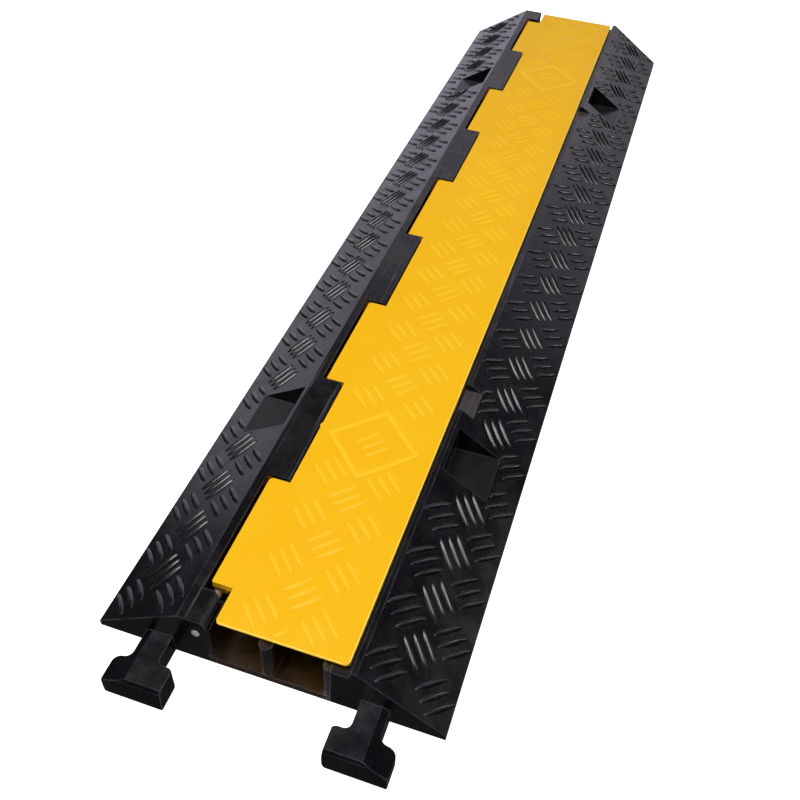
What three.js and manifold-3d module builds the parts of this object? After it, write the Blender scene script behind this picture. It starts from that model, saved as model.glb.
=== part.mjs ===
// Floor cord cover: a black rubber ramp with two cable channels along its length and a yellow
// lid that hinges on a steel rod. Millimetres, +Z up, +Y along the length.
// The ramp is built with its near end at y = 0, and the whole group is then moved so that the
// origin is the middle of the bottom of everything, the end connectors included.

import * as THREE from 'three';
import { mergeVertices } from 'three/addons/utils/BufferGeometryUtils.js';
import Module from 'manifold-3d';

const wasm = await Module();
wasm.setup();

// Ramp body
const LENGTH = 1000; // end face to end face
const HALF_WIDTH = 122.5; // centre line to the outer edge
const HEIGHT = 45; // bottom to the ridges
const LIP = 5; // height of the vertical outer edge
const LEFT_RIDGE = 60; // centre line to the top of the left slope
const RIGHT_RIDGE = 62; // and of the right slope

// Cable channels
const CHANNEL_EDGE = 39; // centre line to the outer wall of each channel
const CHANNEL_FLOOR = 6; // thickness of rubber under the cables
const RIB = 9.5; // thickness of the rib between the channels
const RIB_SETBACK = 0.3; // the rib's ends lie just inside the end faces
const RIB_ROUND = 4.7; // rounding of the rib's ends
const MOUTH_RADIUS = 4; // rounding where the channel walls meet the end faces

// Ramp's side of the hinge: knuckles whose tops are level with the ridges
const KNUCKLE_OVERHANG = 2.5; // the knuckle tops lean out over the left channel
const KNUCKLE_TOP = KNUCKLE_OVERHANG - CHANNEL_EDGE;
const KNUCKLE_BEVEL = 1;
const KNUCKLE_COUNT = 4; // full knuckles
const KNUCKLE_LENGTH = 107;
const KNUCKLE_FROM_END = 181.25; // centre of the outer full knuckles to the end faces
const KNUCKLE_PITCH = (LENGTH - 2 * KNUCKLE_FROM_END) / (KNUCKLE_COUNT - 1);
const END_KNUCKLE = 25.3; // length of the short knuckle at each end
const END_KNUCKLE_SIDE = CHANNEL_EDGE + 0.4; // centre line to the channel side of an end knuckle
const END_KNUCKLE_ROUND = 7; // plan rounding of the near one's inner corner
const FAR_KNUCKLE_ROUND = 2; // and of the far one's
const END_KNUCKLE_BEVEL = 3.5; // along the top of the near one's channel side

// Lid
const LID_DROP = 0.9; // the flat of the lid lies below the ridges, so its tread is level with them
const LID_TOP = HEIGHT - LID_DROP;
const LID_THICKNESS = 5.1;
const LID_UNDER = LID_TOP - LID_THICKNESS;
const LID_RIGHT = 55.5; // free edge
const LID_SIDE_GAP = 1.4; // knuckle tops to the hinged edge
const LID_LEFT = KNUCKLE_TOP + LID_SIDE_GAP;
const LID_UNDERCUT = 3.5; // the hinged edge leans back, so it swings clear of the knuckles
const LID_LEFT_UNDER = LID_LEFT + LID_UNDERCUT;
const LID_NEAR_SETBACK = 4.9; // lid ends to ramp ends
const LID_FAR_SETBACK = 1.5;
const LID_LEFT_CORNER = 3; // plan rounding of the lid corners
const LID_RIGHT_CORNER = 3.5;
const LID_END_EDGE = 1.3; // upright part of the end faces
const LID_END_UNDERCUT = 4.5; // how far they lean back below it

// Seat of the lid in the ramp
const SEAT_GAP = 0.3; // lid underside to the ledge and the rib
const LEDGE = LID_UNDER - SEAT_GAP;
const SEAT_SIDE_GAP = 1.5; // free edge to the foot of the slanted wall beside it
const SEAT_RIGHT = LID_RIGHT + SEAT_SIDE_GAP;
const CREST = 3.7; // width of the flat strip from that wall's top to the slope

// Lid's side of the hinge: tabs that end in barrels on a rod
const AXIS_X = -47.5;
const AXIS_DEPTH = 12.6; // lid top to the axis
const AXIS_Z = LID_TOP - AXIS_DEPTH;
const ROD_RADIUS = 3;
const ROD_NEAR = 0; // the rod's near end is level with the near end face
const ROD_COVER = 10; // rubber beyond its hidden far end
const ROD_FAR = LENGTH - ROD_COVER;
const ROD_BEVEL = 0.5;
const BORE_RADIUS = ROD_RADIUS + 0.35; // in the ramp
const BORE_END_GAP = 0.6;
const BARREL_BORE = ROD_RADIUS + 0.5;
const BARREL_WALL = 3;
const BARREL_RADIUS = BARREL_BORE + BARREL_WALL;
const TAB_OVERRUN = 2.9; // the tabs reach past the axis
const TAB_LEFT = AXIS_X - TAB_OVERRUN;
const TAB_NEAR_CORNER = 1;
const TAB_FAR_CORNER = 3.3;
const TAB_GAP = 1.5; // lengthwise, tab to knuckle
const WEB_SETBACK = 5; // ends of the webs and barrels under the tabs, back from the tab ends
const END_TAB_GAP = 6.3; // the same beside the end knuckles, where the rod shows
const TAB_SWING = Math.hypot(AXIS_X - TAB_LEFT, AXIS_DEPTH);
const SWING_GAP = 0.9; // swinging tab corner to the hollow around it
const RECESS_SIDE_GAP = 2.9; // tabs to the lip that overhangs the hollow
const RECESS_LIP = TAB_LEFT - RECESS_SIDE_GAP;
const RECESS_DEPTH = 3; // below the barrels
const RECESS_FLOOR = AXIS_Z - BARREL_RADIUS - RECESS_DEPTH;

// Pockets in the slopes
const POCKET_FROM_END = 200; // pocket centre to end face
const POCKET_LENGTH = 44;
const POCKET_SETBACK = 2.8; // ridge to the inner wall
const POCKET_LEAN = 1.2; // that wall leans in under the ridge
const POCKET_FLOOR = 19.8;

// Finger notches beside the free edge of the lid
const NOTCH_FROM_END = 254;
const NOTCH_LENGTH = 29;

// T-shaped connectors at the near end and the sockets under the far end
const TEE_CENTRE = 75.5; // centre line to the middle of each
const TEE_REACH = 41.5;
const TEE_NECK = 19.4; // neck width
const TEE_NECK_LENGTH = 21;
const TEE_HEAD = 44; // head width
const TEE_TOP = 17; // height of the flat part
const TEE_CREASE = TEE_CENTRE + 4.5; // centre line to where the top starts to fall
const TEE_OUTER_TOP = 9.5; // height at the outer end
const TEE_DRAFT = 1.2; // lean of the inner end
const TEE_NECK_FILLET = 4.5;
const TEE_BACK_CORNER = 5;
const TEE_LEFT_CORNER = 4; // front corners, the same way round on both connectors
const TEE_RIGHT_CORNER = 1;
const TEE_FRONT_LEAN = 2.5; // the front leans back this far and then rounds into the top
const TEE_FRONT_BEVEL = 1.7;
const TEE_FRONT_EDGE = 2.5; // height of that rounding
const SOCKET_GAP = 1; // clearance around a connector in its socket
const ROOT = 2; // how far a joined form reaches into its neighbour

const MARGIN = 1; // how far a cutting form reaches past the surface that it opens
const ROUND_SEGMENTS = 32;
const CORNER_STEPS = 5;

// Corner points given as [u, v, radius], turned into an outline with round corners
function roundedOutline(corners) {
  const points = [];
  corners.forEach(([u, v, radius = 0], i) => {
    const corner = new THREE.Vector2(u, v);
    if (radius === 0) {
      points.push(corner);
      return;
    }
    const before = new THREE.Vector2(...corners.at(i - 1).slice(0, 2)).sub(corner).normalize();
    const after = new THREE.Vector2(...corners[(i + 1) % corners.length].slice(0, 2)).sub(corner).normalize();
    const half = Math.acos(before.dot(after)) / 2;
    const reach = radius / Math.tan(half);
    const centre = before.clone().add(after).normalize().multiplyScalar(radius / Math.sin(half)).add(corner);
    const start = before.multiplyScalar(reach).add(corner).sub(centre);
    const end = after.multiplyScalar(reach).add(corner).sub(centre);
    const turn = Math.atan2(start.cross(end), start.dot(end));
    for (let step = 0; step <= CORNER_STEPS; step++) {
      const arm = start.clone().rotateAround(new THREE.Vector2(), (turn * step) / CORNER_STEPS);
      points.push(arm.add(centre));
    }
  });
  return points;
}

function extruded(outline, depth) {
  const points = outline.map((p) => (Array.isArray(p) ? new THREE.Vector2(...p) : p));
  return new THREE.ExtrudeGeometry(new THREE.Shape(points), { depth, bevelEnabled: false });
}

function solid(geometry) {
  const bare = geometry.clone();
  bare.deleteAttribute('normal');
  bare.deleteAttribute('uv');
  const merged = mergeVertices(bare);
  return new wasm.Manifold(new wasm.Mesh({
    numProp: 3,
    vertProperties: merged.attributes.position.array,
    triVerts: new Uint32Array(merged.index.array),
  }));
}

// A section in X and Z, run along the length
function lengthwise(section, y0, y1) {
  return solid(extruded(section, y1 - y0).rotateX(Math.PI / 2).translate(0, y1, 0));
}

// A plan outline in X and Y, raised from z0 to z1
function upright(plan, z0, z1) {
  return solid(extruded(plan, z1 - z0).translate(0, 0, z0));
}

// A section in Y and Z, run across the width
function crosswise(section, x0, x1) {
  const turn = new THREE.Matrix4().makeBasis(
    new THREE.Vector3(0, 1, 0),
    new THREE.Vector3(0, 0, 1),
    new THREE.Vector3(1, 0, 0),
  );
  return solid(extruded(section, x1 - x0).applyMatrix4(turn).translate(x0, 0, 0));
}

function box(x0, x1, y0, y1, z0, z1) {
  return upright([[x0, y0], [x1, y0], [x1, y1], [x0, y1]], z0, z1);
}

// A round bar along the hinge axis
function hingeBar(radius, y0, y1) {
  const geometry = new THREE.CylinderGeometry(radius, radius, y1 - y0, ROUND_SEGMENTS);
  return solid(geometry.translate(AXIS_X, (y0 + y1) / 2, AXIS_Z));
}

// Lengthwise ranges of the recesses between the ramp's knuckles, and of the lid's tab in each
function tabRanges() {
  const knuckles = [[0, END_KNUCKLE]];
  for (let i = 0; i < KNUCKLE_COUNT; i++) {
    const centre = KNUCKLE_FROM_END + i * KNUCKLE_PITCH;
    knuckles.push([centre - KNUCKLE_LENGTH / 2, centre + KNUCKLE_LENGTH / 2]);
  }
  knuckles.push([LENGTH - END_KNUCKLE, LENGTH]);
  return knuckles.slice(1).map(([next], i) => ({
    recess: [knuckles[i][1], next],
    tab: [
      knuckles[i][1] + (i === 0 ? END_TAB_GAP : TAB_GAP),
      next - (i === KNUCKLE_COUNT ? END_TAB_GAP : TAB_GAP),
    ],
  }));
}

// Plan and section of a T connector on one side, grown by a gap for its socket
function tee(side, gap) {
  const neck = TEE_NECK / 2 + gap;
  const head = TEE_HEAD / 2 + gap;
  const front = -TEE_REACH - gap;
  const back = -TEE_NECK_LENGTH + gap;
  const root = gap > 0 ? MARGIN : ROOT;
  const plan = roundedOutline([
    [-neck, root],
    [-neck, back, TEE_NECK_FILLET - gap],
    [-head, back, TEE_BACK_CORNER + gap],
    [-head, front, TEE_LEFT_CORNER + gap],
    [head, front, TEE_RIGHT_CORNER + gap],
    [head, back, TEE_BACK_CORNER + gap],
    [neck, back, TEE_NECK_FILLET - gap],
    [neck, root],
  ]).map((p) => p.add(new THREE.Vector2(side * TEE_CENTRE, 0)));
  const inner = TEE_CENTRE - head;
  const outer = TEE_CENTRE + head;
  const top = TEE_TOP + gap;
  const bottom = gap > 0 ? -MARGIN : 0;
  const section = [
    [inner, bottom],
    [outer, bottom],
    [outer, TEE_OUTER_TOP + gap],
    [TEE_CREASE, top],
    [inner + TEE_DRAFT, top],
  ];
  const facing = side > 0 ? section : section.map(([x, z]) => [-x, z]).reverse();
  const profile = [
    [front, bottom],
    [root, bottom],
    [root, top],
    [front + TEE_FRONT_LEAN + TEE_FRONT_BEVEL, top],
    [front + TEE_FRONT_LEAN, top - TEE_FRONT_EDGE],
  ];
  const reach = HALF_WIDTH + MARGIN;
  return upright(plan, bottom, top)
    .intersect(lengthwise(facing, front - MARGIN, root + MARGIN))
    .intersect(crosswise(profile, -reach, reach));
}

function rampBase() {
  const through = [-MARGIN, LENGTH + MARGIN];
  let ramp = lengthwise([
    [-HALF_WIDTH, 0],
    [HALF_WIDTH, 0],
    [HALF_WIDTH, LIP],
    [RIGHT_RIDGE, HEIGHT],
    [-LEFT_RIDGE, HEIGHT],
    [-HALF_WIDTH, LIP],
  ], 0, LENGTH);

  // Seat for the lid, between the knuckle tops and the right strip
  ramp = ramp.subtract(lengthwise([
    [-CHANNEL_EDGE, LEDGE],
    [SEAT_RIGHT, LEDGE],
    [RIGHT_RIDGE - CREST, HEIGHT],
    [RIGHT_RIDGE - CREST, HEIGHT + MARGIN],
    [KNUCKLE_TOP - KNUCKLE_BEVEL, HEIGHT + MARGIN],
    [KNUCKLE_TOP - KNUCKLE_BEVEL, HEIGHT],
    [KNUCKLE_TOP, HEIGHT - KNUCKLE_BEVEL],
  ], ...through));

  // Both channels in one cut, its mouths flared by the rounded wall ends; the rib goes back in
  const flare = CHANNEL_EDGE + MOUTH_RADIUS;
  ramp = ramp.subtract(upright(roundedOutline([
    [-flare, -MARGIN],
    [flare, -MARGIN],
    [flare, 0],
    [CHANNEL_EDGE, 0, MOUTH_RADIUS],
    [CHANNEL_EDGE, LENGTH, MOUTH_RADIUS],
    [flare, LENGTH],
    [flare, LENGTH + MARGIN],
    [-flare, LENGTH + MARGIN],
    [-flare, LENGTH],
    [-CHANNEL_EDGE, LENGTH, MOUTH_RADIUS],
    [-CHANNEL_EDGE, 0, MOUTH_RADIUS],
    [-flare, 0],
  ]), CHANNEL_FLOOR, LEDGE));
  ramp = ramp.add(upright(roundedOutline([
    [-RIB / 2, RIB_SETBACK, RIB_ROUND],
    [RIB / 2, RIB_SETBACK, RIB_ROUND],
    [RIB / 2, LENGTH - RIB_SETBACK, RIB_ROUND],
    [-RIB / 2, LENGTH - RIB_SETBACK, RIB_ROUND],
  ]), CHANNEL_FLOOR - ROOT, LEDGE));

  // Recesses for the lid's tabs, open to the left channel and hollowed out under their lips
  for (const { recess: [y0, y1] } of tabRanges()) {
    const shaft = box(RECESS_LIP, KNUCKLE_TOP + MARGIN, y0, y1, RECESS_FLOOR, HEIGHT + MARGIN);
    const swing = hingeBar(TAB_SWING + SWING_GAP, y0, y1).trimByPlane([0, 0, 1], RECESS_FLOOR);
    ramp = ramp.subtract(shaft).subtract(swing);
  }
  ramp = ramp.subtract(hingeBar(BORE_RADIUS, -MARGIN, ROD_FAR + BORE_END_GAP));

  // The end knuckles don't lean out over the channel
  const knuckleEnd = (round) => upright(roundedOutline([
    [-END_KNUCKLE_SIDE, -MARGIN],
    [-END_KNUCKLE_SIDE, END_KNUCKLE, round],
    [-END_KNUCKLE_SIDE - 2 * round, END_KNUCKLE],
    [-END_KNUCKLE_SIDE - 2 * round, END_KNUCKLE + MARGIN],
    [KNUCKLE_TOP + MARGIN, END_KNUCKLE + MARGIN],
    [KNUCKLE_TOP + MARGIN, -MARGIN],
  ]), LEDGE - END_KNUCKLE_BEVEL, HEIGHT + MARGIN);
  const knuckleEdge = lengthwise([
    [-END_KNUCKLE_SIDE, HEIGHT - END_KNUCKLE_BEVEL],
    [KNUCKLE_TOP + MARGIN, HEIGHT - END_KNUCKLE_BEVEL],
    [KNUCKLE_TOP + MARGIN, HEIGHT + MARGIN],
    [-END_KNUCKLE_SIDE - END_KNUCKLE_BEVEL, HEIGHT + MARGIN],
    [-END_KNUCKLE_SIDE - END_KNUCKLE_BEVEL, HEIGHT],
  ], -MARGIN, END_KNUCKLE + MARGIN);
  ramp = ramp.subtract(knuckleEnd(END_KNUCKLE_ROUND)).subtract(knuckleEdge);
  ramp = ramp.subtract(knuckleEnd(FAR_KNUCKLE_ROUND).mirror([0, 1, 0]).translate([0, LENGTH, 0]));

  // Wedge-shaped pockets in both slopes, with a level floor
  for (const centre of [POCKET_FROM_END, LENGTH - POCKET_FROM_END]) {
    const y0 = centre - POCKET_LENGTH / 2;
    const y1 = centre + POCKET_LENGTH / 2;
    for (const [side, ridge] of [[-1, LEFT_RIDGE], [1, RIGHT_RIDGE]]) {
      const wall = ridge + POCKET_SETBACK;
      const section = [
        [wall - POCKET_LEAN, POCKET_FLOOR],
        [HALF_WIDTH, POCKET_FLOOR],
        [HALF_WIDTH, HEIGHT + MARGIN],
        [wall, HEIGHT + MARGIN],
      ];
      const facing = side > 0 ? section : section.map(([x, z]) => [-x, z]).reverse();
      ramp = ramp.subtract(lengthwise(facing, y0, y1));
    }
  }

  // Finger notches through the right strip, level with the ledge
  for (const centre of [NOTCH_FROM_END, LENGTH - NOTCH_FROM_END]) {
    const y0 = centre - NOTCH_LENGTH / 2;
    const y1 = centre + NOTCH_LENGTH / 2;
    ramp = ramp.subtract(box(SEAT_RIGHT - ROOT, HALF_WIDTH, y0, y1, LEDGE, HEIGHT + MARGIN));
  }

  // Connectors on the near end, and their sockets under the far end
  for (const side of [-1, 1]) {
    ramp = ramp.add(tee(side, 0));
    ramp = ramp.subtract(tee(side, SOCKET_GAP).translate([0, LENGTH, 0]));
  }
  return ramp;
}

function channelLid() {
  const near = LID_NEAR_SETBACK;
  const far = LENGTH - LID_FAR_SETBACK;
  const section = [[LID_LEFT_UNDER, LID_UNDER], [LID_RIGHT, LID_UNDER], [LID_RIGHT, LID_TOP], [LID_LEFT, LID_TOP]];
  const plan = roundedOutline([
    [LID_LEFT, near, LID_LEFT_CORNER],
    [LID_RIGHT, near, LID_RIGHT_CORNER],
    [LID_RIGHT, far, LID_RIGHT_CORNER],
    [LID_LEFT, far, LID_LEFT_CORNER],
  ]);
  const ends = [
    [near + LID_END_UNDERCUT, LID_UNDER],
    [far - LID_END_UNDERCUT, LID_UNDER],
    [far, LID_TOP - LID_END_EDGE],
    [far, LID_TOP],
    [near, LID_TOP],
    [near, LID_TOP - LID_END_EDGE],
  ];
  let lid = lengthwise(section, near, far)
    .intersect(upright(plan, 0, HEIGHT))
    .intersect(crosswise(ends, -HALF_WIDTH, HALF_WIDTH));

  // Each tab is a plate, with a web under it that goes down to a barrel on the rod
  const root = LID_LEFT_UNDER + ROOT;
  const web = [
    [TAB_LEFT, AXIS_Z + BARREL_BORE],
    [AXIS_X, AXIS_Z],
    [AXIS_X + BARREL_RADIUS, AXIS_Z],
    [AXIS_X + BARREL_RADIUS, LID_UNDER],
    [root, LID_UNDER],
    [root, LID_TOP],
    [TAB_LEFT, LID_TOP],
  ];
  for (const { tab: [y0, y1] } of tabRanges()) {
    const plate = roundedOutline([
      [TAB_LEFT, y0, TAB_NEAR_CORNER],
      [root, y0],
      [root, y1],
      [TAB_LEFT, y1, TAB_FAR_CORNER],
    ]);
    const [w0, w1] = [y0 + WEB_SETBACK, y1 - WEB_SETBACK];
    lid = lid.add(upright(plate, LID_UNDER, LID_TOP));
    lid = lid.add(lengthwise(web, w0, w1)).add(hingeBar(BARREL_RADIUS, w0, w1));
  }
  return lid.subtract(hingeBar(BARREL_BORE, -MARGIN, LENGTH + MARGIN));
}

function hingeRod() {
  const shoulder = ROD_RADIUS - ROD_BEVEL;
  const outline = [
    [0, ROD_NEAR],
    [shoulder, ROD_NEAR],
    [ROD_RADIUS, ROD_NEAR + ROD_BEVEL],
    [ROD_RADIUS, ROD_FAR - ROD_BEVEL],
    [shoulder, ROD_FAR],
    [0, ROD_FAR],
  ].map((p) => new THREE.Vector2(...p));
  return solid(new THREE.LatheGeometry(outline, ROUND_SEGMENTS).translate(AXIS_X, 0, AXIS_Z));
}

function piece(name, form, material) {
  const { vertProperties, triVerts } = form.getMesh();
  const geometry = new THREE.BufferGeometry();
  geometry.setAttribute('position', new THREE.BufferAttribute(vertProperties, 3));
  geometry.setIndex(new THREE.BufferAttribute(triVerts, 1));
  geometry.computeVertexNormals();
  const mesh = new THREE.Mesh(geometry, material);
  mesh.name = name;
  return mesh;
}

const blackRubber = new THREE.MeshStandardMaterial({ color: 0x1b1b1e, roughness: 0.55, metalness: 0 });
const yellowPlastic = new THREE.MeshStandardMaterial({ color: 0xf9bf12, roughness: 0.45, metalness: 0 });
const steel = new THREE.MeshStandardMaterial({ color: 0xb9b7b2, roughness: 0.35, metalness: 1 });

const cordCover = new THREE.Group();
cordCover.add(piece('ramp_base', rampBase(), blackRubber));
cordCover.add(piece('channel_lid', channelLid(), yellowPlastic));
cordCover.add(piece('hinge_rod', hingeRod(), steel));
cordCover.position.y = (TEE_REACH - LENGTH) / 2;

export default cordCover;
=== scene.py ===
# %% [markdown]
# # A floor cord cover in black rubber and yellow plastic
# This lesson dresses a cable ramp that lies across a floor: a black rubber body with two
# channels, a yellow lid on a steel hinge rod, and a tread moulded into both slopes and the lid.
# The plain solids come in as a fixed frame. Blender adds what they lack: soft edges, the tread,
# the marks on the lid, and materials that look like rubber, plastic and steel.

# %% Load the frame
import math

import bpy
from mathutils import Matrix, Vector


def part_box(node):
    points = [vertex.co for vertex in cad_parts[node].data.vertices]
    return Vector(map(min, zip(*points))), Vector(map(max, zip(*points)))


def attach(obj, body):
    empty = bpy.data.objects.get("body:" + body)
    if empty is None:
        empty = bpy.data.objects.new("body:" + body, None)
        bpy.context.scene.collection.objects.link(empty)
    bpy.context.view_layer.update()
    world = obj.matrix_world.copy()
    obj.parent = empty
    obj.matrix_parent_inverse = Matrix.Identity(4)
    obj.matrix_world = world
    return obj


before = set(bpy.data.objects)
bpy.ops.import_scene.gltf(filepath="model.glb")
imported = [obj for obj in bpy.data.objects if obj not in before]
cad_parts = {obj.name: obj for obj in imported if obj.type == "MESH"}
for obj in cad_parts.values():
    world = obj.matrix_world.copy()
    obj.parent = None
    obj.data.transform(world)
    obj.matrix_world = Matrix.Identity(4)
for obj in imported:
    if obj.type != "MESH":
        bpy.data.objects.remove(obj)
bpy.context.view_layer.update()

MM = 0.001
print("solids:", sorted(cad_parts))

# %% [markdown]
# ## Main sizes
# Whatever is laid on the ramp has to fit it. Its round sizes are written down once, here, and the
# places of the rod and the lid are read from the solids. The near end is the one with the two
# T-shaped connectors, which stand out beyond its flat face. The hinge rod starts level with that
# face, so the rod tells where it is.

# %% Measure the ramp
LENGTH = 1000 * MM  # end face to end face
FOOT = 122.5 * MM  # centre line to the outer edges
RIDGE_TOP = 45 * MM
rod_low, rod_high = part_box("hinge_rod")
lid_low, lid_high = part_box("channel_lid")
NEAR = rod_low[1]  # the near end face
LID_TOP = lid_high[2]
HINGE_X = (rod_low[0] + rod_high[0]) / 2
HINGE_Z = (rod_low[2] + rod_high[2]) / 2
print("length", round(LENGTH / MM, 1), "mm, half width", round(FOOT / MM, 1), "mm")
print("hinge at", round(HINGE_X / MM, 1), round(HINGE_Z / MM, 1), "mm")

# %% [markdown]
# ## The camera
# The picture was taken with a normal lens from above the near end, a little to the right,
# looking down at 45 degrees along the ramp. A long object shows its perspective strongly, so
# place, angle and focal length were solved together from the straight edges of the ramp.

# %% Place the camera
SENSOR = 36  # millimetres
FOCAL_LENGTH = 41.77
CAMERA_PLACE = (0.15389, -0.73978, 0.56585)
CAMERA_TURN = (44.519, -2.390, 18.379)  # degrees

camera_data = bpy.data.cameras.new("photo_camera")
camera_data.sensor_width = SENSOR
camera_data.lens = FOCAL_LENGTH
camera = bpy.data.objects.new("photo_camera", camera_data)
camera.location = CAMERA_PLACE
camera.rotation_euler = [math.radians(turn) for turn in CAMERA_TURN]
bpy.context.scene.collection.objects.link(camera)
bpy.context.scene.camera = camera
print("camera at", CAMERA_PLACE, "with a", FOCAL_LENGTH, "mm lens")

# %% [markdown]
# ## The floor
# The ramp was pictured on a pure white sweep without shadows. A pale plane that glows gives the
# same white, and nothing can cast a shadow on it. The rubber must not mirror it, or it would turn
# grey, so the plane is hidden from reflections.

# %% Floor
FLOOR_SIZE = 80
FLOOR_DROP = 0.5 * MM  # a little under the ramp, so that no two faces lie in one place


def link(thing):
    bpy.context.scene.collection.objects.link(thing)
    return thing


def new_material(name, colour, roughness):
    """A material with node tree, and its main shader."""
    material = bpy.data.materials.new(name)
    material.use_nodes = True
    shader = material.node_tree.nodes["Principled BSDF"]
    shader.inputs["Base Color"].default_value = (*colour, 1)
    shader.inputs["Roughness"].default_value = roughness
    return material, shader


def ground_plane(name, size, height):
    half = size / 2
    corners = [(-half, -half, 0), (half, -half, 0), (half, half, 0), (-half, half, 0)]
    data = bpy.data.meshes.new(name)
    data.from_pydata(corners, [], [(0, 1, 2, 3)])
    thing = link(bpy.data.objects.new(name, data))
    thing.location = (0, 0, height)
    return thing


floor = ground_plane("studio_floor", FLOOR_SIZE, -FLOOR_DROP)
pale_floor, pale_shader = new_material("pale_floor", (0.9, 0.9, 0.9), 0.8)
pale_shader.inputs["Specular IOR Level"].default_value = 0.1
pale_shader.inputs["Emission Color"].default_value = (1, 1, 1, 1)
pale_shader.inputs["Emission Strength"].default_value = 1
floor.data.materials.append(pale_floor)
floor.visible_glossy = False
print("the floor is", FLOOR_SIZE, "m wide")

# %% [markdown]
# ## The air
# Black rubber only looks black when the room around it is dark, because its sheen comes from
# whatever it mirrors. So the air gives almost no light, but a camera that looks past the floor
# should see white. A light path node tells the two kinds of ray apart.

# %% Air
DARK_AIR = 0.05  # what the ramp sees
PALE_AIR = 1  # what the camera sees beyond the floor

scene = bpy.context.scene
scene.view_settings.view_transform = "Standard"
world = bpy.data.worlds.new("studio_air")
scene.world = world
world.use_nodes = True
air = world.node_tree
dark_air = air.nodes["Background"]
pale_air = air.nodes.new("ShaderNodeBackground")
for background, strength in ((dark_air, DARK_AIR), (pale_air, PALE_AIR)):
    background.inputs["Color"].default_value = (1, 1, 1, 1)
    background.inputs["Strength"].default_value = strength
ray = air.nodes.new("ShaderNodeLightPath")
either = air.nodes.new("ShaderNodeMixShader")
air.links.new(ray.outputs["Is Camera Ray"], either.inputs["Fac"])
air.links.new(dark_air.outputs["Background"], either.inputs[1])
air.links.new(pale_air.outputs["Background"], either.inputs[2])
air.links.new(either.outputs["Shader"], air.nodes["World Output"].inputs["Surface"])
print("air:", DARK_AIR, "for the ramp and", PALE_AIR, "for the camera")

# %% [markdown]
# ## The lamps
# Two bright panels hang over the near end. The flanks of the tread bars mirror them, which draws
# the thin light lines. Wide, weak backdrops stand beyond the far end and at the left. The slopes
# mirror them at a low angle, which gives the far half its grey sheen and leaves the near half
# dark. Two small strips add glints from behind and from the right.

# %% Lamps
WHITE = (1, 1, 1)
COOL = (0.98, 0.93, 1.09)
RAMP = (0, 0, 0)
NEAR_HALF = (0, -0.3, 0.05)
PANELS = (  # name, place, what it is aimed at, width and height, brightness, colour
    ("left_key", (-0.6, -0.7, 2.2), RAMP, (1.0, 1.0), 10, WHITE),
    ("right_key", (0.5, -0.7, 2.2), RAMP, (1.0, 1.0), 7.2, WHITE),
    ("far_backdrop", (-1.3, 3.2, 0.0), (-1.3, 0, 0), (2.6, 2.0), 0.84, COOL),
    ("left_backdrop", (-2.95, 2.3, 0.0), RAMP, (1.6, 2.0), 0.72, COOL),
    ("right_backdrop", (1.75, 3.2, 0.9), RAMP, (1.5, 0.8), 0.6, COOL),
    ("back_panel", (-0.4, 3.2, 1.9), RAMP, (2.4, 1.6), 0.5, COOL),
    ("back_strip", (1.1, 3.2, 1.35), RAMP, (0.8, 0.4), 6, WHITE),
    ("right_strip", (2.5, 1.2, 0.5), NEAR_HALF, (0.5, 0.4), 10, WHITE),
)


def soft_light(name, position, target, size, brightness, colour):
    """A glowing panel. A brightness looks the same at every size."""
    data = bpy.data.lights.new(name, "AREA")
    data.shape = "RECTANGLE"
    data.size, data.size_y = size
    data.energy = brightness * math.pi * size[0] * size[1]
    data.color = colour
    lamp = link(bpy.data.objects.new(name, data))
    lamp.location = position
    aim = Vector(target) - Vector(position)
    lamp.rotation_euler = aim.to_track_quat("-Z", "Y").to_euler()


for panel in PANELS:
    soft_light(*panel)

# %% [markdown]
# ## Soft edges on the solids
# No moulded edge is truly sharp, and a thin bright line along an edge is what tells rubber and
# plastic from paper. The solids arrive as triangles, so flat faces are first dissolved into whole
# ones. A bevel then rounds only the real corners, and the last step smooths the shading.

# %% Shading that is smooth up to an angle
SOFT_ANGLE = math.radians(28)
FLAT_ANGLE = math.radians(0.5)


def smooth_shading_group():
    group = bpy.data.node_groups.new("smooth_by_angle", "GeometryNodeTree")
    group.interface.new_socket("Geometry", in_out="INPUT", socket_type="NodeSocketGeometry")
    group.interface.new_socket("Geometry", in_out="OUTPUT", socket_type="NodeSocketGeometry")
    nodes = group.nodes
    entry = nodes.new("NodeGroupInput")
    leave = nodes.new("NodeGroupOutput")
    angle = nodes.new("GeometryNodeInputMeshEdgeAngle")
    small = nodes.new("FunctionNodeCompare")
    small.operation = "LESS_THAN"
    small.inputs["B"].default_value = SOFT_ANGLE
    faces = nodes.new("GeometryNodeSetShadeSmooth")
    edges = nodes.new("GeometryNodeSetShadeSmooth")
    edges.domain = "EDGE"
    group.links.new(angle.outputs["Unsigned Angle"], small.inputs["A"])
    group.links.new(small.outputs["Result"], edges.inputs["Shade Smooth"])
    group.links.new(entry.outputs[0], faces.inputs["Geometry"])
    group.links.new(faces.outputs[0], edges.inputs["Geometry"])
    group.links.new(edges.outputs[0], leave.inputs[0])
    return group


SMOOTH = smooth_shading_group()
print("edges under", round(math.degrees(SOFT_ANGLE)), "degrees are shaded smooth")

# %% Round the edges
RUBBER_EDGE = 0.7 * MM
LID_EDGE = 0.5 * MM
ROD_EDGE = 0.3 * MM


def soften(thing, width, clamp=False):
    """Dissolve flat faces, round the corners by width and smooth the shading."""
    whole = thing.modifiers.new("whole_faces", "DECIMATE")
    whole.decimate_type = "DISSOLVE"
    whole.angle_limit = FLAT_ANGLE
    bevel = thing.modifiers.new("soft_edges", "BEVEL")
    bevel.width = width
    bevel.segments = 2
    bevel.limit_method = "ANGLE"
    bevel.angle_limit = SOFT_ANGLE
    bevel.use_clamp_overlap = clamp
    bevel.miter_outer = "MITER_ARC"
    thing.modifiers.new("smooth", "NODES").node_group = SMOOTH


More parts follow.
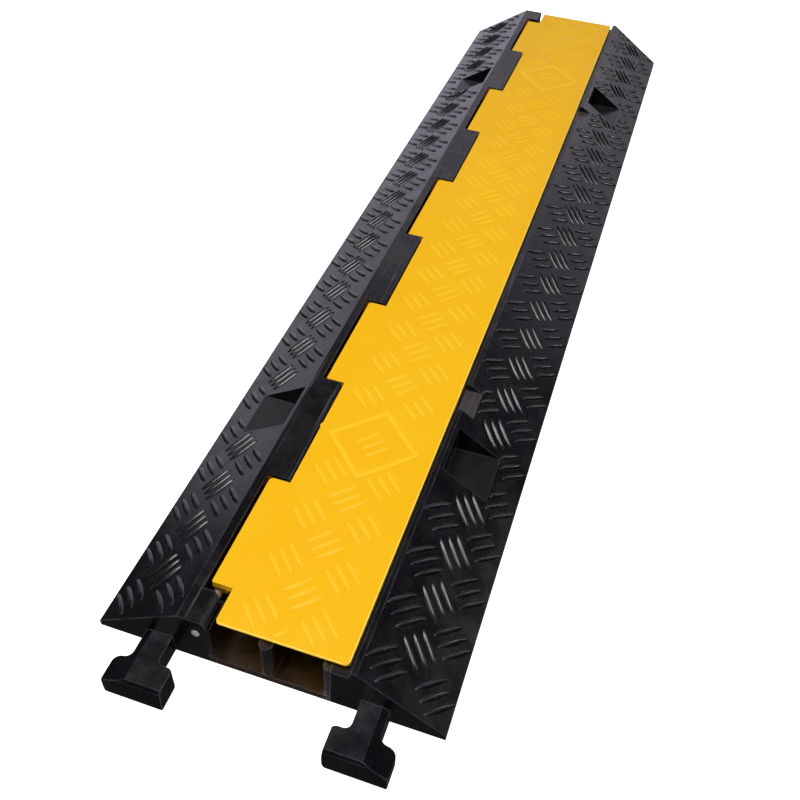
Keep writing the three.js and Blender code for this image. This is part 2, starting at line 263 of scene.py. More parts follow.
soften(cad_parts["ramp_base"], RUBBER_EDGE)
soften(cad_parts["channel_lid"], LID_EDGE, clamp=True)
soften(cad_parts["hinge_rod"], ROD_EDGE)
print("edges rounded by", [round(v / MM, 1) for v in (RUBBER_EDGE, LID_EDGE, ROD_EDGE)], "mm")

# %% [markdown]
# ## One tread bar
# The tread is a basket weave: groups of three slender bars, each group turned a quarter against
# its neighbours. A real mould cuts each bar as a blunt lens with sloping flanks and a narrow
# crest, and the light catches the flanks. A picture of bars could be laid over a flat face, but it
# would have no flanks, so each bar is a small mesh. Bars on the slopes are steep. Those on the lid
# are worn low and round.

# %% Sections of the bars
# Half sections from one foot to the crest: place across as a share of the half width, and height
STEEP = ((-1, 0), (-0.9, 0.22), (-0.6, 0.62), (-0.25, 0.92), (-0.1, 0.99), (0, 1))
GENTLE = ((-1, 0), (-0.8, 0.12), (-0.6, 0.37), (-0.4, 0.68), (-0.2, 0.91), (0, 1))
FLAT = ((-1, 0), (-0.85, 0.45), (-0.7, 0.85), (-0.5, 0.98), (0, 1))


def whole_section(half):
    return half + tuple((-across, height) for across, height in reversed(half[:-1]))


print("points in a whole section:", [len(whole_section(half)) for half in (STEEP, GENTLE, FLAT)])

# %% A flat face to lay bars on
class Surface:
    """A flat face of the ramp: across runs over its width, along over its length."""

    def __init__(self, origin, across):
        self.origin = Vector(origin)
        self.across = Vector(across).normalized()
        self.along = Vector((0, 1, 0))
        self.up = self.across.cross(self.along)
        if self.up.z < 0:
            self.up.negate()

    def at(self, u, v, height=0.0):
        return self.origin + self.across * u + self.along * v + self.up * height


lid_surface = Surface((0, NEAR, LID_TOP), (1, 0, 0))
print("the lid faces", tuple(lid_surface.up))

# %% Bar mesh
BAR_STATIONS = 15  # sections along a bar, the two tips included
BAR_SINK = 0.3 * MM  # the bars start a little below the face that they grow from
WIDTH_POWER = 0.7  # how fast a bar widens from its tips
HEIGHT_POWER = 0.6  # and how fast it rises


def bar_points(surface, start, end, bar):
    """Corner points and faces of one lens-shaped bar. start and end are (across, along)."""
    section = whole_section(bar["section"])
    count = len(section)
    start, end = Vector(start), Vector(end)
    run = end - start
    side = Vector((-run.y, run.x)).normalized()
    points = []
    for i in range(BAR_STATIONS):
        t = i / (BAR_STATIONS - 1)
        swell = 1 - abs(2 * t - 1) ** bar["bluntness"]
        middle = start + run * t
        if swell == 0:
            points.append(surface.at(middle.x, middle.y, -BAR_SINK))
            continue
        for across, share in section:
            place = middle + side * (across * bar["width"] / 2 * swell ** WIDTH_POWER)
            rise = (bar["height"] * swell ** HEIGHT_POWER + BAR_SINK) * share
            points.append(surface.at(place.x, place.y, rise - BAR_SINK))
    last = len(points) - 1
    rows = [[1 + i * count + j for j in range(count)] for i in range(BAR_STATIONS - 2)]
    faces = [(0, rows[0][j + 1], rows[0][j]) for j in range(count - 1)]
    faces += [(last, rows[-1][j], rows[-1][j + 1]) for j in range(count - 1)]
    for near, far in zip(rows, rows[1:]):
        faces += [(near[j], near[j + 1], far[j + 1], far[j]) for j in range(count - 1)]
    rim = [0] + [row[0] for row in rows] + [last] + [row[-1] for row in reversed(rows)]
    faces.append(tuple(rim))
    return points, faces


def joined_mesh(name, parts):
    """One object from many parts, each a list of points and a list of faces."""
    points, faces = [], []
    for part_points, part_faces in parts:
        first = len(points)
        points += part_points
        faces += [tuple(first + k for k in face) for face in part_faces]
    data = bpy.data.meshes.new(name)
    data.from_pydata([tuple(p) for p in points], [], faces)
    data.validate()
    thing = link(bpy.data.objects.new(name, data))
    thing.modifiers.new("smooth", "NODES").node_group = SMOOTH
    return thing


print("a bar has", BAR_STATIONS, "stations")

# %% [markdown]
# ## The weave
# Three columns of groups run along each tread, and the middle column leans the other way. Where a
# pocket, a notch or an end cuts into the tread, the mould maker cut the bars short and left out
# those that would have been stubs. So each bar is walked along in small steps, and its longest
# free stretch is kept.

# %% Places without tread
def in_box(u0, u1, v0, v1):
    return lambda u, v: u0 < u < u1 and v0 < v < v1


def in_diamond(middle_u, middle_v, reach):
    return lambda u, v: abs(u - middle_u) + abs(v - middle_v) < reach


def past_ends(near, far):
    return lambda u, v: not near < v < far


print("the middle of the ramp is past its ends:", past_ends(0, LENGTH)(0, LENGTH / 2))

# %% Groups and columns
BARS_IN_GROUP = 3
BAR_STEPS = 40  # steps along a bar when its free stretch is looked for
SHORTEST = 0.35  # a bar cut down to less than this share is left out


def free_part(start, end, cuts):
    """The longest stretch of a bar that lies outside every cut, or None."""
    runs, run = [], []
    for i in range(BAR_STEPS + 1):
        t = i / BAR_STEPS
        u = start[0] + (end[0] - start[0]) * t
        v = start[1] + (end[1] - start[1]) * t
        if any(cut(u, v) for cut in cuts):
            runs.append(run)
            run = []
        else:
            run.append((u, v))
    runs.append(run)
    best = max(runs, key=len)
    if len(best) < SHORTEST * BAR_STEPS:
        return None
    return best[0], best[-1]


def bar_group(u, v, lean, length, spacing):
    """Ends of the bars of one group centred on (u, v). lean is 1 or -1."""
    run = Vector((1, lean)).normalized() * length / 2
    step = Vector((1, -lean)).normalized() * spacing
    ends = []
    for i in range(BARS_IN_GROUP):
        middle = Vector((u, v)) + step * (i - (BARS_IN_GROUP - 1) / 2)
        ends.append((tuple(middle - run), tuple(middle + run)))
    return ends


def weave(surface, columns, pitch, bar, cuts, bare):
    """columns: (across, first place along, lean). No group is centred in a bare place."""
    parts = []
    for u, first, lean in columns:
        for i in range(math.ceil((LENGTH - first) / pitch)):
            v = first + i * pitch
            if any(place(u, v) for place in bare):
                continue
            for start, end in bar_group(u, v, lean, bar["length"], bar["spacing"]):
                kept = free_part(start, end, cuts)
                if kept:
                    parts.append(bar_points(surface, *kept, bar))
    return parts


print("a group has", len(bar_group(0, 0, 1, 1, 1)), "bars")

# %% [markdown]
# ## Tread on the slopes
# Each slope has its own plane, from the ridge beside the lid down to the outer edge. The left
# ridge lies a little nearer to the middle than the right one. The tread is laid out on the plane
# and carried over to it by the surface, so one function serves both sides.

# %% Sizes of the slopes and their bars
RIDGES = {-1: 60 * MM, 1: 62 * MM}  # centre line to the ridges, left and right
FALL = 40 * MM  # height from the outer edges to the ridges
POCKETS = (200 * MM, 800 * MM)  # middles of the pockets, from the near end
NOTCHES = (254 * MM, 746 * MM)  # middles of the finger notches on the right
SLOPE_PITCH = 40.75 * MM  # group to group along a column
COLUMN_PLACES = (75.7 * MM, 92.1 * MM, 109.1 * MM)  # columns from the centre line
COLUMN_STARTS = (19 * MM, 39.4 * MM, 19 * MM)
COLUMN_LEANS = (1, -1, 1)
SLOPE_BAR = {
    "length": 28 * MM, "spacing": 8.2 * MM, "width": 5.2 * MM, "height": 1.6 * MM,
    "section": STEEP, "bluntness": 3,
}
print("groups in a column:", round(LENGTH / SLOPE_PITCH))

# %% Cuts in the slopes
SLOPE_END_MARGIN = 2.5 * MM
POCKET_CUT = (2 * MM, 47 * MM)  # down the slope
POCKET_CUT_HALF = 23 * MM  # half of its length
NOTCH_CUT = (-9 * MM, 12.5 * MM)
NOTCH_CUT_HALF = 15.5 * MM
BARE_ABOVE = (0, 25 * MM)  # the upper column keeps well clear of a pocket
BARE_ABOVE_HALF = 30 * MM
BARE_BESIDE = (25 * MM, 45 * MM)  # the middle column may come closer
BARE_BESIDE_HALF = 15 * MM


def boxes(across, half_length, middles):
    return [in_box(*across, middle - half_length, middle + half_length) for middle in middles]


def slope_cuts(side):
    """Where bars are cut off, and where no group is centred. side is -1 or 1."""
    cuts = [past_ends(SLOPE_END_MARGIN, LENGTH - SLOPE_END_MARGIN)]
    cuts += boxes(POCKET_CUT, POCKET_CUT_HALF, POCKETS)
    if side > 0:
        cuts += boxes(NOTCH_CUT, NOTCH_CUT_HALF, NOTCHES)
    bare = boxes(BARE_ABOVE, BARE_ABOVE_HALF, POCKETS)
    bare += boxes(BARE_BESIDE, BARE_BESIDE_HALF, POCKETS)
    return cuts, bare


print("cuts on the right slope:", len(slope_cuts(1)[0]))

# %% Lay the tread on both slopes
def slope_surface(side):
    return Surface((side * RIDGES[side], NEAR, RIDGE_TOP), (side * (FOOT - RIDGES[side]), 0, -FALL))


def down_slope(side, place):
    """Distance down the slope of a place measured level from the centre line."""
    run = FOOT - RIDGES[side]
    return (place - RIDGES[side]) * math.hypot(run, FALL) / run


def slope_tread(side, name):
    downs = [down_slope(side, place) for place in COLUMN_PLACES]
    columns = zip(downs, COLUMN_STARTS, COLUMN_LEANS)
    parts = weave(slope_surface(side), columns, SLOPE_PITCH, SLOPE_BAR, *slope_cuts(side))
    print(name, "has", len(parts), "bars")
    return joined_mesh(name, parts)


slope_treads = [slope_tread(-1, "left_slope_tread"), slope_tread(1, "right_slope_tread")]
for tread in slope_treads:
    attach(tread, "base")

# %% [markdown]
# ## Tread on the lid
# The lid has the same weave, but its bars are lower and rounder, and they stop short of the two
# ends. The weave is centred on the length, and it leaves room for the two diamond marks.

# %% Lay the tread on the lid
LID_PITCH = 41.5 * MM
LID_END_MARGIN = 2 * MM
MARK_PLACES = (182 * MM, 818 * MM)  # middles of the marks, from the near end
MARK_U = 8.5 * MM  # their place across
MARK_REACH = 37.5 * MM  # middle to the outer corners
MARK_MARGIN = 2 * MM
LID_BAR = {
    "length": 24 * MM, "spacing": 7.8 * MM, "width": 5.6 * MM, "height": 0.7 * MM,
    "section": GENTLE, "bluntness": 5,
}
first_middle = LENGTH / 2 - 12 * LID_PITCH
first_outer = first_middle + LID_PITCH / 2
lid_columns = ((-12 * MM, first_outer, -1), (8.7 * MM, first_middle, 1), (29 * MM, first_outer, -1))
mark_cuts = [in_diamond(MARK_U, place, MARK_REACH + MARK_MARGIN) for place in MARK_PLACES]
lid_ends = past_ends(lid_low[1] - NEAR + LID_END_MARGIN, lid_high[1] - NEAR - LID_END_MARGIN)
lid_parts = weave(lid_surface, lid_columns, LID_PITCH, LID_BAR, mark_cuts + [lid_ends], mark_cuts)
lid_tread = joined_mesh("lid_tread", lid_parts)
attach(lid_tread, "lid")
print("lid tread has", len(lid_parts), "bars")

# %% [markdown]
# ## Marks on the lid
# Two low diamond frames stand on the lid, one near each end, with three plain bars inside. A
# frame is a square band on its corner. It is made like a bar, as a section carried round the
# four corners, so its flanks catch the light in the same way.

# %% Diamond frames
MARK_BAND = 5.2 * MM
MARK_HEIGHT = 0.6 * MM
MARK_BAR_LENGTH = 22 * MM
MARK_BAR_SPACING = 8 * MM
CORNERS = ((1, 0), (0, 1), (-1, 0), (0, -1))


def diamond_frame(surface, u, v, reach, width, height, half):
    """Points and faces of a raised square band on its corner, centred on (u, v)."""
    section = whole_section(half)
    points = []
    for du, dv in CORNERS:
        for across, share in section:
            corner = reach - width * math.sqrt(2) * (1 - across) / 2
            rise = (height + BAR_SINK) * share - BAR_SINK
            points.append(surface.at(u + du * corner, v + dv * corner, rise))
    n = len(section)
    faces = []
    for i in range(len(CORNERS)):
        here, there = i * n, (i + 1) % len(CORNERS) * n
        faces += [(here + j, here + j + 1, there + j + 1, there + j) for j in range(n - 1)]
        faces.append((here, there, there + n - 1, here + n - 1))
    return points, faces


mark_parts = []
for place in MARK_PLACES:
    band = diamond_frame(lid_surface, MARK_U, place, MARK_REACH, MARK_BAND, MARK_HEIGHT, FLAT)
    mark_parts.append(band)
    for start, end in bar_group(MARK_U, place, 1, MARK_BAR_LENGTH, MARK_BAR_SPACING):
        mark_parts.append(bar_points(lid_surface, start, end, LID_BAR))
lid_marks = joined_mesh("lid_marks", mark_parts)
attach(lid_marks, "lid")
print("marks at", [round(v / MM) for v in MARK_PLACES], "mm from the near end")

# %% [markdown]
# ## Small details
# The rod's near end was hammered into a low dome that catches the light. Where plastic once ran
# into the mould, a torn-off gate left a nub on the hinged edge of the lid. Both are half
# ellipsoids, so one function makes them.

# %% Dome and nub
DOME_RINGS = 6
DOME_TURNS = 24
ROD_HEAD = (2.9 * MM, 1.3 * MM, 2.9 * MM)  # radii across, along and up
NUB_PLACE = (-35.1 * MM, NEAR + 187.6 * MM, 43.7 * MM)
NUB = (1.1 * MM, 2.6 * MM, 0.7 * MM)


def dome(name, centre, radii, axis, sign):
    """Half an ellipsoid that bulges along an axis (0, 1 or 2), up it or down it."""
    first, second = [k for k in range(3) if k != axis]
    points = []
    for ring in range(DOME_RINGS):
        rise = ring / DOME_RINGS * math.pi / 2
        for turn in range(DOME_TURNS):
            angle = turn / DOME_TURNS * 2 * math.pi
            point = list(centre)
            point[first] += radii[first] * math.cos(rise) * math.cos(angle)
            point[second] += radii[second] * math.cos(rise) * math.sin(angle)
            point[axis] += sign * radii[axis] * math.sin(rise)
            points.append(tuple(point))
    top = list(centre)
    top[axis] += sign * radii[axis]
    points.append(tuple(top))
    faces = []
    for ring in range(DOME_RINGS - 1):
        row = ring * DOME_TURNS
        for turn in range(DOME_TURNS):
            here, there = row + turn, row + (turn + 1) % DOME_TURNS
            faces.append((here, there, there + DOME_TURNS, here + DOME_TURNS))
    last = (DOME_RINGS - 1) * DOME_TURNS
    for turn in range(DOME_TURNS):
        faces.append((last + turn, last + (turn + 1) % DOME_TURNS, len(points) - 1))
    faces.append(tuple(reversed(range(DOME_TURNS))))
    if (axis == 1) == (sign > 0):  # keep the outside of every face outward
        faces = [tuple(reversed(face)) for face in faces]
    return joined_mesh(name, [(points, faces)])


rod_head = dome("rod_head", (HINGE_X, NEAR, HINGE_Z), ROD_HEAD, axis=1, sign=-1)
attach(rod_head, "base")
gate_nub = dome("gate_nub", NUB_PLACE, NUB, axis=2, sign=1)
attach(gate_nub, "lid")
print("made", rod_head.name, "and", gate_nub.name)

# %% [markdown]
# ## Tools for the materials
# Every material here is built from noise and from the object's own coordinates, so its dirt and
# wear stay on the part when the part moves. A few short functions make the nodes. Each one takes
# sockets and gives back a socket, so a material reads from top to bottom like a recipe.

# %% Nodes and noise
def add_node(material, kind, **settings):
    """A new node with its properties set."""
    node = material.node_tree.nodes.new(kind)
    for name, value in settings.items():
        setattr(node, name, value)
    return node


def join(material, source, target):
    material.node_tree.links.new(source, target)


def own_places(material, scale=(1, 1, 1)):
    """The object's own coordinates in metres, stretched by scale."""
    coordinates = add_node(material, "ShaderNodeTexCoord")
    stretch = add_node(material, "ShaderNodeMapping")
    stretch.inputs["Scale"].default_value = scale
    join(material, coordinates.outputs["Object"], stretch.inputs["Vector"])
    return stretch.outputs["Vector"]


def own_parts(material, output):
    """X, Y and Z of the object's own coordinates or of its own normal."""
    coordinates = add_node(material, "ShaderNodeTexCoord")
    parts = add_node(material, "ShaderNodeSeparateXYZ")
    join(material, coordinates.outputs[output], parts.inputs["Vector"])
    return parts.outputs["X"], parts.outputs["Y"], parts.outputs["Z"]


def noise(material, places, scale, detail=4, roughness=0.6):
    texture = add_node(material, "ShaderNodeTexNoise")
    texture.inputs["Scale"].default_value = scale
    texture.inputs["Detail"].default_value = detail
    texture.inputs["Roughness"].default_value = roughness
    join(material, places, texture.inputs["Vector"])
    return texture.outputs["Fac"]


print("tools for nodes:", [tool.__name__ for tool in (add_node, join, own_places, own_parts, noise)])

# %% Masks
def remap(material, value, low, high, to_low=0.0, to_high=1.0):
    """Goes softly from to_low at low to to_high at high."""
    node = add_node(material, "ShaderNodeMapRange", interpolation_type="SMOOTHSTEP")
    names = ("From Min", "From Max", "To Min", "To Max")
    for name, number in zip(names, (low, high, to_low, to_high)):
        node.inputs[name].default_value = number
    join(material, value, node.inputs["Value"])
    return node.outputs["Result"]


def multiply(material, first, second):
    """first is a socket, second a socket or a number."""
    node = add_node(material, "ShaderNodeMath", operation="MULTIPLY")
    join(material, first, node.inputs[0])
    if isinstance(second, float):
        node.inputs[1].default_value = second
    else:
        join(material, second, node.inputs[1])
    return node.outputs["Value"]


def all_of(material, *masks):
    product = masks[0]
    for mask in masks[1:]:
        product = multiply(material, product, mask)
    return product


def within(material, value, start, full, fade, end):
    """1 from full to fade, and 0 before start and past end."""
    return multiply(material, remap(material, value, start, full), remap(material, value, end, fade))


def edge_mask(material, radius, low, high):
    """1 along edges, where a rounded normal differs from the true one."""
    rounded = add_node(material, "ShaderNodeBevel", samples=4)
    rounded.inputs["Radius"].default_value = radius
    true = add_node(material, "ShaderNodeNewGeometry")
    alike = add_node(material, "ShaderNodeVectorMath", operation="DOT_PRODUCT")
    join(material, rounded.outputs["Normal"], alike.inputs[0])
    join(material, true.outputs["Normal"], alike.inputs[1])
    return remap(material, alike.outputs["Value"], high, low)


print("tools for masks:", [tool.__name__ for tool in (remap, multiply, all_of, within, edge_mask)])

# %% Colour and relief
def blend(material, factor, first, second):
    """first and second are colours or sockets."""
    node = add_node(material, "ShaderNodeMix", data_type="RGBA")
    join(material, factor, node.inputs["Factor"])
    for place, colour in ((6, first), (7, second)):
        if isinstance(colour, tuple):
            node.inputs[place].default_value = (*colour, 1)
        else:
            join(material, colour, node.inputs[place])
    return node.outputs[2]


def coat(material, below, mask, share, colour):
    """colour laid over what is below, as strongly as mask times share."""
    return blend(material, multiply(material, mask, share), below, colour)


def bumps(material, height, distance, strength, before=None):
    node = add_node(material, "ShaderNodeBump")
    node.inputs["Distance"].default_value = distance
    node.inputs["Strength"].default_value = strength
    join(material, height, node.inputs["Height"])
    if before is not None:
        join(material, before, node.inputs["Normal"])
    return node.outputs["Normal"]


print("tools for colour and relief:", [tool.__name__ for tool in (blend, coat, bumps)])

# %% [markdown]
# ## Where the rubber is dirty, and where light is painted on it
# Moulded rubber is never one black. Dust settles on every face that looks up, in the pockets and
# in the finger notches. The connectors' tops get a painted sheen. The channels get painted warm
# bounce light from the yellow lid, and the deep recesses beside the lid's tabs a stronger painted
# bounce light. Each of these places is a mask: a number that is 1 there and 0 elsewhere, worked
# out from height, place and the way that a face looks.

# %% Places on the rubber
# Where a band has four places, the mask grows from the first to the second and fades from the
# third to the fourth. Where it has two, it grows from the first to the second.
TOP_HEIGHTS = (37.5 * MM, 38.5 * MM)  # every level face above is a top
POCKET_HEIGHTS = (18.5 * MM, 19.2 * MM, 20.5 * MM, 21.5 * MM)  # the floors of the pockets
NOTCH_HEIGHTS = (37 * MM, 37.5 * MM, 40 * MM, 40.5 * MM)  # the floors of the finger notches
SEAT_EDGE = 57 * MM  # the lid's ledge ends here, beyond it only the notches are so low
CHANNEL_WALL = (42 * MM, 38 * MM)  # from the centre line inward
CHANNEL_DEPTH = (30 * MM, 12 * MM)  # downward
RECESS_WIDTH = (-61.7 * MM, -61.2 * MM, -50.5 * MM, -49.5 * MM)
RECESS_LENGTH = (NEAR + 20 * MM, NEAR + 25 * MM, NEAR + 975 * MM, NEAR + 980 * MM)
RECESS_HEIGHTS = (24 * MM, 32 * MM, 43 * MM, 43.6 * MM)
MOUTH_WIDTH = (37.8 * MM, 39.2 * MM, 44.5 * MM, 46 * MM)  # the outer wall of the right channel
MOUTH_DEPTH = (NEAR + 6 * MM, NEAR + 3 * MM)  # toward the near end face
print("recesses from", [round(v / MM, 1) for v in RECESS_WIDTH], "mm across")

# %% Masks on the rubber
rubber, rubber_shader = new_material("black_rubber", (0.004, 0.0038, 0.005), 0.25)
rubber_shader.inputs["Specular IOR Level"].default_value = 0.5
x_place, y_place, z_place = own_parts(rubber, "Object")
z_facing = own_parts(rubber, "Normal")[2]
from_middle = add_node(rubber, "ShaderNodeMath", operation="ABSOLUTE")
join(rubber, x_place, from_middle.inputs[0])
level = remap(rubber, z_facing, 0.93, 0.99)
on_top = multiply(rubber, level, remap(rubber, z_place, *TOP_HEIGHTS))
on_tee = multiply(rubber, level, remap(rubber, y_place, NEAR, NEAR - MM))
in_pocket = all_of(
    rubber, level, remap(rubber, y_place, NEAR, NEAR + MM), within(rubber, z_place, *POCKET_HEIGHTS)
)
in_notch = all_of(
    rubber, level, remap(rubber, x_place, SEAT_EDGE, SEAT_EDGE + MM),
    within(rubber, z_place, *NOTCH_HEIGHTS),
)
in_channel = multiply(
    rubber, remap(rubber, from_middle.outputs["Value"], *CHANNEL_WALL),
    remap(rubber, z_place, *CHANNEL_DEPTH),
)
in_recess = all_of(
    rubber, within(rubber, x_place, *RECESS_WIDTH), within(rubber, y_place, *RECESS_LENGTH),
    within(rubber, z_place, *RECESS_HEIGHTS),
)
at_mouth = multiply(
    rubber, remap(rubber, y_place, *MOUTH_DEPTH), within(rubber, x_place, *MOUTH_WIDTH)
)
print("rubber has", len(rubber.node_tree.nodes), "nodes with its masks")

# %% [markdown]
# ## Colour of the rubber
# The colour is built up in coats. The deepest is black with paler clouds. Dust on the tops comes
# next, with a painted sheen mixed in: the coat is thin at the near end and grows further off. The
# connectors' tops get a bluish painted sheen. Then come pale streaks along the length of the tops,
# which are painted highlight lines, specks, and painted warm bounce light in the channels and
# recesses. Last come scrapes at a channel's mouth and the grey of chafed edges, which is wear and
# painted edge highlight together.

# %% Colours of the rubber
DEEP_BLACK = (0.0012, 0.0011, 0.0025)
DULL_BLACK = (0.0038, 0.0035, 0.0062)
# dust on the tops, with a painted sheen in it
TOP_DUST_AND_SHEEN = (0.026, 0.023, 0.0235)
POCKET_DUST = (0.034, 0.032, 0.036)
# painted bluish sheen for the connectors' tops
TEE_SHEEN = (0.012, 0.0126, 0.0165)
NOTCH_DUST = (0.055, 0.048, 0.05)
# painted highlight lines along the length of the tops
STREAK_HIGHLIGHT_GREY = (0.085, 0.077, 0.085)
SPECK_GREY = (0.05, 0.047, 0.045)
# painted dim warm bounce light from the yellow lid, for the channels
CHANNEL_BOUNCE_BROWN = (0.022, 0.0105, 0.0055)
# painted warm bounce light from the yellow lid, for the recesses beside its tabs
RECESS_BOUNCE_LIGHT = (0.5, 0.18, 0.05)
SCRAPE_GREY = (0.07, 0.065, 0.07)
# wear and painted edge highlight along the edges
CHAFED_AND_HIGHLIGHT_GREY = (0.072, 0.068, 0.078)
DUST_AND_SHEEN_RISE = (NEAR + 50 * MM, NEAR + 700 * MM, 0.28, 1.2)  # dust and painted sheen grow over this stretch
POCKET_SHARE = (50 * MM, -50 * MM, 0.3, 0.85)  # right pockets are cleaner than left ones
EDGE_LINE_WIDTH = 1.2 * MM
print("from", DEEP_BLACK, "to", CHAFED_AND_HIGHLIGHT_GREY)

# %% Coats on the rubber
places = own_places(rubber)
cloud = remap(rubber, noise(rubber, places, 28, 5, 0.65), 0.42, 0.66)
highlight_streaks = remap(rubber, noise(rubber, own_places(rubber, (420, 9, 420)), 1, 3), 0.56, 0.72)
specks = remap(rubber, noise(rubber, places, 420, 2), 0.66, 0.76)
scrapes = remap(rubber, noise(rubber, own_places(rubber, (700, 700, 25)), 1, 3), 0.45, 0.65)
dust_and_sheen = multiply(rubber, on_top, remap(rubber, cloud, 0.1, 0.9, 0.25, 0.85))
# edges, lighter from wear and from a painted edge highlight
chafed_and_highlit = multiply(
    rubber, edge_mask(rubber, EDGE_LINE_WIDTH, 0.955, 0.996),
    remap(rubber, noise(rubber, places, 70, 4), 0.4, 0.62, 0.4, 1),
)

colour = blend(rubber, cloud, DEEP_BLACK, DULL_BLACK)
# dust on the tops, with a painted sheen that grows toward the far end
colour = coat(rubber, colour, dust_and_sheen, remap(rubber, y_place, *DUST_AND_SHEEN_RISE), TOP_DUST_AND_SHEEN)
colour = coat(rubber, colour, in_pocket, remap(rubber, x_place, *POCKET_SHARE), POCKET_DUST)
# painted bluish sheen on the connectors' tops, patchy with the clouds
colour = coat(rubber, colour, on_tee, remap(rubber, cloud, 0, 1, 0.3, 0.9), TEE_SHEEN)
colour = coat(rubber, colour, in_notch, 0.9, NOTCH_DUST)
# pale streaks along the length of the tops: painted highlight lines
colour = coat(rubber, colour, highlight_streaks, multiply(rubber, on_top, 0.8), STREAK_HIGHLIGHT_GREY)
colour = coat(rubber, colour, specks, 0.3, SPECK_GREY)
# painted dim warm bounce light from the yellow lid inside the channels
colour = coat(rubber, colour, in_channel, 0.8, CHANNEL_BOUNCE_BROWN)
# a strong painted warm bounce light from the yellow lid in the recesses beside its tabs
colour = coat(rubber, colour, in_recess, 0.9, RECESS_BOUNCE_LIGHT)
colour = coat(rubber, colour, at_mouth, scrapes, SCRAPE_GREY)
# wear and painted edge highlight on the edges
colour = coat(rubber, colour, chafed_and_highlit, 0.9, CHAFED_AND_HIGHLIGHT_GREY)
join(rubber, colour, rubber_shader.inputs["Base Color"])
print("rubber has", len(rubber.node_tree.nodes), "nodes with its coats")

# %% Sheen and skin of the rubber
GRAIN_DEPTH = 0.06 * MM
WAVE_DEPTH = 0.5 * MM
sheen = remap(rubber, noise(rubber, places, 60, 4), 0.35, 0.7, 0.2, 0.32)
join(rubber, sheen, rubber_shader.inputs["Roughness"])
grain = bumps(rubber, noise(rubber, places, 700, 3), GRAIN_DEPTH, 0.06)
waves = bumps(rubber, noise(rubber, places, 30, 2), WAVE_DEPTH, 0.15, grain)
join(rubber, waves, rubber_shader.inputs["Normal"])
print("rubber has", len(rubber.node_tree.nodes), "nodes")

# %% [markdown]
# ## Yellow plastic
# The lid is dyed through, so its colour hardly changes, but wheels and shoes have dulled it in
# patches and left thin scuffs. The crests of the bars are a little lighter, partly from wear and
# partly as a painted highlight, and a painted highlight line runs along the free edge and the near
# edge, on faces that look up. One flat colour would look like a toy, and a few soft masks are
# enough to avoid that.

# %% Colours of the yellow plastic
DARK_YELLOW = (0.915, 0.48, 0.001)
LIGHT_YELLOW = (0.925, 0.505, 0.003)
SCUFF = (0.9, 0.62, 0.12)
# wear and painted highlight for the crests of the bars
CREST_HIGHLIGHT_YELLOW = (0.99, 0.61, 0.02)
# painted highlight line along the free edge and the near edge
RIM_HIGHLIGHT_YELLOW = (1.0, 0.74, 0.13)
CREST_HEIGHTS = (LID_TOP + 0.02 * MM, LID_TOP + 0.3 * MM)
RIM_WIDTH = 1 * MM
RIM_FULL = 0.6 * MM  # the painted highlight line is strongest this near to the edge
SKIN_DEPTH = 0.05 * MM
SINK_DEPTH = 0.4 * MM
print("from", DARK_YELLOW, "to", RIM_HIGHLIGHT_YELLOW)

# %% Yellow plastic
yellow, yellow_shader = new_material("yellow_plastic", (0.93, 0.5, 0.006), 0.4)
yellow_shader.inputs["Specular IOR Level"].default_value = 0.2
places = own_places(yellow)
x_place, y_place, z_place = own_parts(yellow, "Object")
patches = remap(yellow, noise(yellow, places, 14, 4), 0.35, 0.7)
scuffs = remap(yellow, noise(yellow, own_places(yellow, (500, 40, 500)), 1, 3), 0.66, 0.76)
crests = remap(yellow, z_place, *CREST_HEIGHTS)
looks_up = remap(yellow, own_parts(yellow, "Normal")[2], 0.2, 0.5)
# strength of the painted highlight line: on faces that look up, patchy
rim_highlight_strength = multiply(yellow, looks_up, remap(yellow, noise(yellow, places, 90), 0.3, 0.5, 0.5, 1))
free_rim = remap(yellow, x_place, lid_high[0] - RIM_WIDTH, lid_high[0] - RIM_FULL)
near_rim = remap(yellow, y_place, lid_low[1] + RIM_WIDTH, lid_low[1] + RIM_FULL)

colour = blend(yellow, patches, DARK_YELLOW, LIGHT_YELLOW)
colour = coat(yellow, colour, scuffs, 0.1, SCUFF)
# crests lighter from wear and a painted highlight
colour = coat(yellow, colour, crests, 0.65, CREST_HIGHLIGHT_YELLOW)
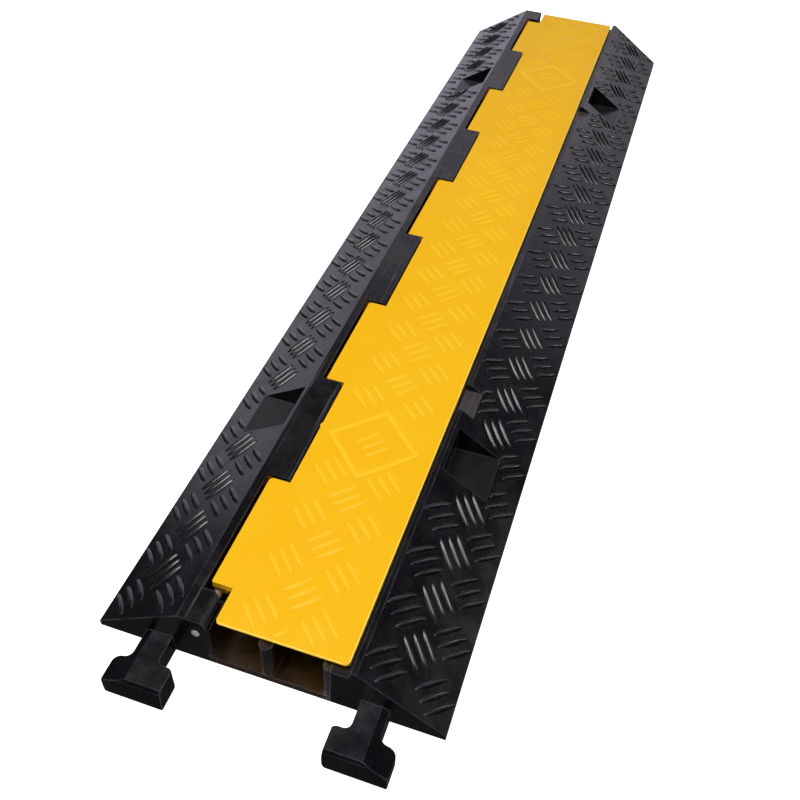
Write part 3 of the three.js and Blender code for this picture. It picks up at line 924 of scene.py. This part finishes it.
# painted highlight line along the free edge and the near edge
for rim in (free_rim, near_rim):
    colour = coat(yellow, colour, rim, rim_highlight_strength, RIM_HIGHLIGHT_YELLOW)
join(yellow, colour, yellow_shader.inputs["Base Color"])
dull = remap(yellow, noise(yellow, places, 35, 4), 0.3, 0.7, 0.42, 0.56)
join(yellow, dull, yellow_shader.inputs["Roughness"])
skin = bumps(yellow, noise(yellow, places, 700, 2), SKIN_DEPTH, 0.3)
sinks = bumps(yellow, noise(yellow, places, 22, 2), SINK_DEPTH, 0.15, skin)
join(yellow, sinks, yellow_shader.inputs["Normal"])
print("yellow plastic has", len(yellow.node_tree.nodes), "nodes")

# %% [markdown]
# ## Steel
# The rod is bare steel: bright where it ends at the near face, and brown with rust further in,
# where damp collects between the knuckles. Little of it shows, so two colours mixed by place and
# noise are enough.

# %% Steel
BARE_STEEL = (0.55, 0.54, 0.58)
RUST = (0.42, 0.2, 0.11)
RUST_STARTS = (NEAR + 4 * MM, NEAR + 12 * MM)
PIT_DEPTH = 0.1 * MM

steel, steel_shader = new_material("steel", (0.55, 0.54, 0.56), 0.35)
steel_shader.inputs["Metallic"].default_value = 0.6  # a film of dust dulls it
places = own_places(steel)
inside = remap(steel, own_parts(steel, "Object")[1], *RUST_STARTS)
blotches = remap(steel, noise(steel, places, 260, 4), 0.3, 0.6, 0.5, 1)
rust = multiply(steel, inside, blotches)
join(steel, blend(steel, rust, BARE_STEEL, RUST), steel_shader.inputs["Base Color"])
join(steel, remap(steel, rust, 0, 1, 0.35, 0.6), steel_shader.inputs["Roughness"])
pits = bumps(steel, noise(steel, places, 500, 3), PIT_DEPTH, 0.4)
join(steel, pits, steel_shader.inputs["Normal"])
print("steel has", len(steel.node_tree.nodes), "nodes")

# %% [markdown]
# ## Put it together
# Each solid came with a slot for its material, so the material in it is swapped. The added
# pieces have no slot yet, and theirs is appended.

# %% Put the materials on
for node, material in (("ramp_base", rubber), ("channel_lid", yellow), ("hinge_rod", steel)):
    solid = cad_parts[node]
    for place in solid.material_slots:
        place.material = material
for tread in slope_treads:
    tread.data.materials.append(rubber)
for piece in (lid_tread, lid_marks, gate_nub):
    piece.data.materials.append(yellow)
rod_head.data.materials.append(steel)
print("materials:", [material.name for material in (rubber, yellow, steel)])
